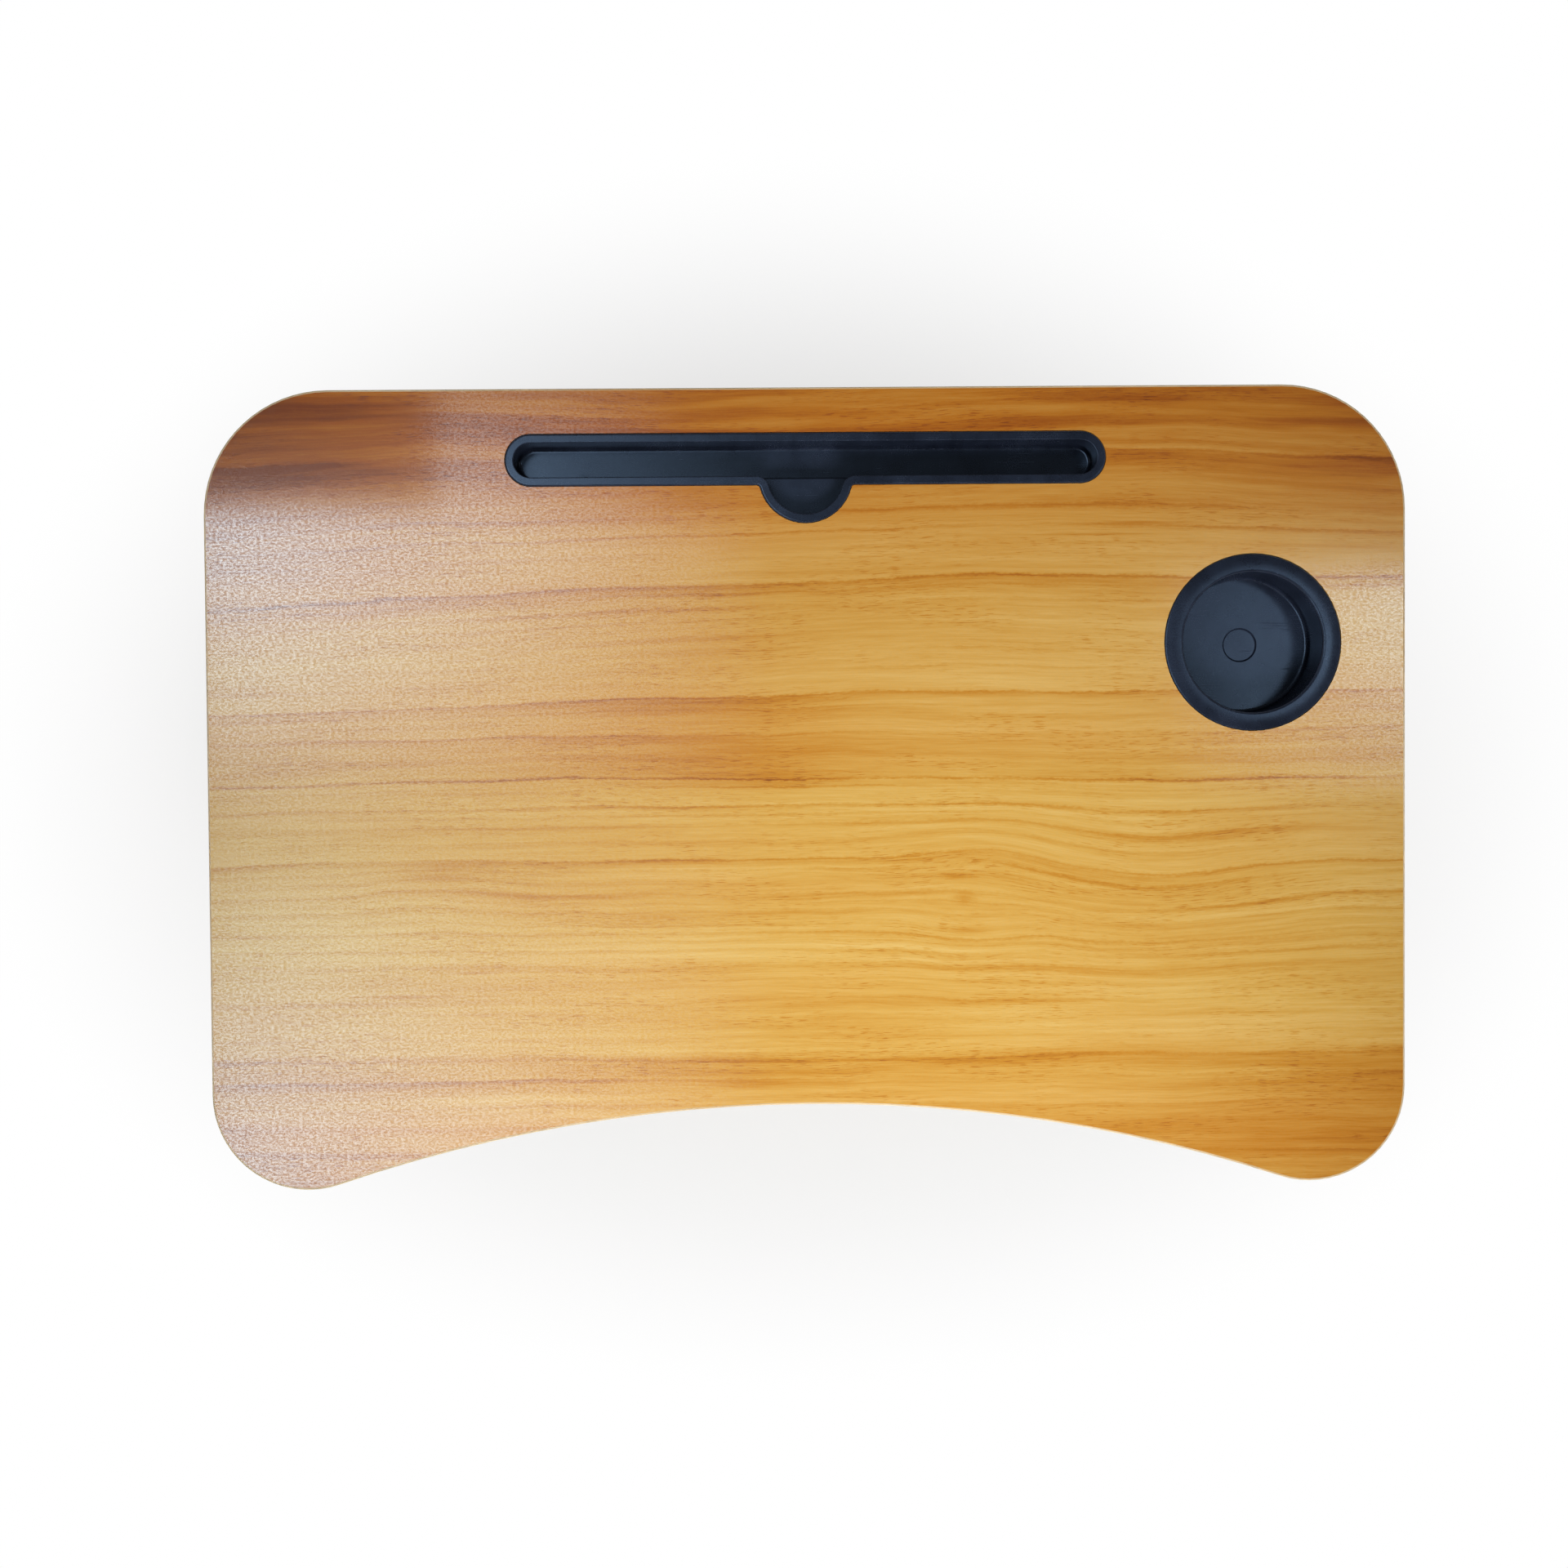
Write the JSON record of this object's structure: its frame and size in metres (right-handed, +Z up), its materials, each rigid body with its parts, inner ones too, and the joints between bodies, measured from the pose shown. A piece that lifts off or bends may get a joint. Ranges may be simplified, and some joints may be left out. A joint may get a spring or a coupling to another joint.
{
  "type": "folding laptop table",
  "caption": "Low bed table: a round-cornered wood-grain board with a concave front edge, a tablet slot and a cup well, on fold-in tubular steel legs.",
  "frame": {"origin": "on the floor, below the middle of the board", "axes": "+X to the cup holder's side, +Y to the rear edge with the tablet slot, +Z up"},
  "size_m": [0.6, 0.4, 0.2808],
  "materials": {
    "wood_laminate": "honey wood-grain decor, satin with fine pores",
    "mdf": "raw fibreboard",
    "backing": "plain pale balancing sheet, matte",
    "edge_pvc": "wood-tone edge strip, satin",
    "insert_plastic": "moulded charcoal black, semi-matte",
    "nylon": "moulded black nylon, matte",
    "powder_coat": "black powder coat, fine texture",
    "zinc": "bright zinc plate",
    "sleeve_rubber": "matte black rubber"
  },
  "bodies": {
    "tabletop": {"board_core": "mdf", "top_laminate": "wood_laminate", "backing_sheet": "backing", "edge_band": "edge_pvc", "media_slot_tray": "insert_plastic", "cup_holder": "insert_plastic", "left_front_bracket": "nylon", "left_front_hinge_pin": "zinc", "left_rear_bracket": "nylon", "left_rear_hinge_pin": "zinc", "left_leg_clip": "nylon", "right_front_bracket": "nylon", "right_front_hinge_pin": "zinc", "right_rear_bracket": "nylon", "right_rear_hinge_pin": "zinc", "right_leg_clip": "nylon", "pin_push_nuts": "zinc", "bracket_screws": "zinc", "clip_screws": "zinc"},
    "left_leg": {"left_leg_tube": "powder_coat", "left_front_knuckle": "nylon", "left_rear_knuckle": "nylon", "left_knuckle_rivets": "zinc", "left_front_foot_sleeve": "sleeve_rubber", "left_rear_foot_sleeve": "sleeve_rubber"},
    "right_leg": {"right_leg_tube": "powder_coat", "right_front_knuckle": "nylon", "right_rear_knuckle": "nylon", "right_knuckle_rivets": "zinc", "right_front_foot_sleeve": "sleeve_rubber", "right_rear_foot_sleeve": "sleeve_rubber"}
  },
  "joints": [
    {"name": "left_leg_fold", "type": "hinge", "parent": "tabletop", "child": "left_leg", "pos_m": [-0.262, 0, 0.246], "axis": [0, -1, 0], "range_deg": [0, 96]},
    {"name": "right_leg_fold", "type": "hinge", "parent": "tabletop", "child": "right_leg", "pos_m": [0.262, 0, 0.246], "axis": [0, 1, 0], "range_deg": [0, 96]}
  ]
}
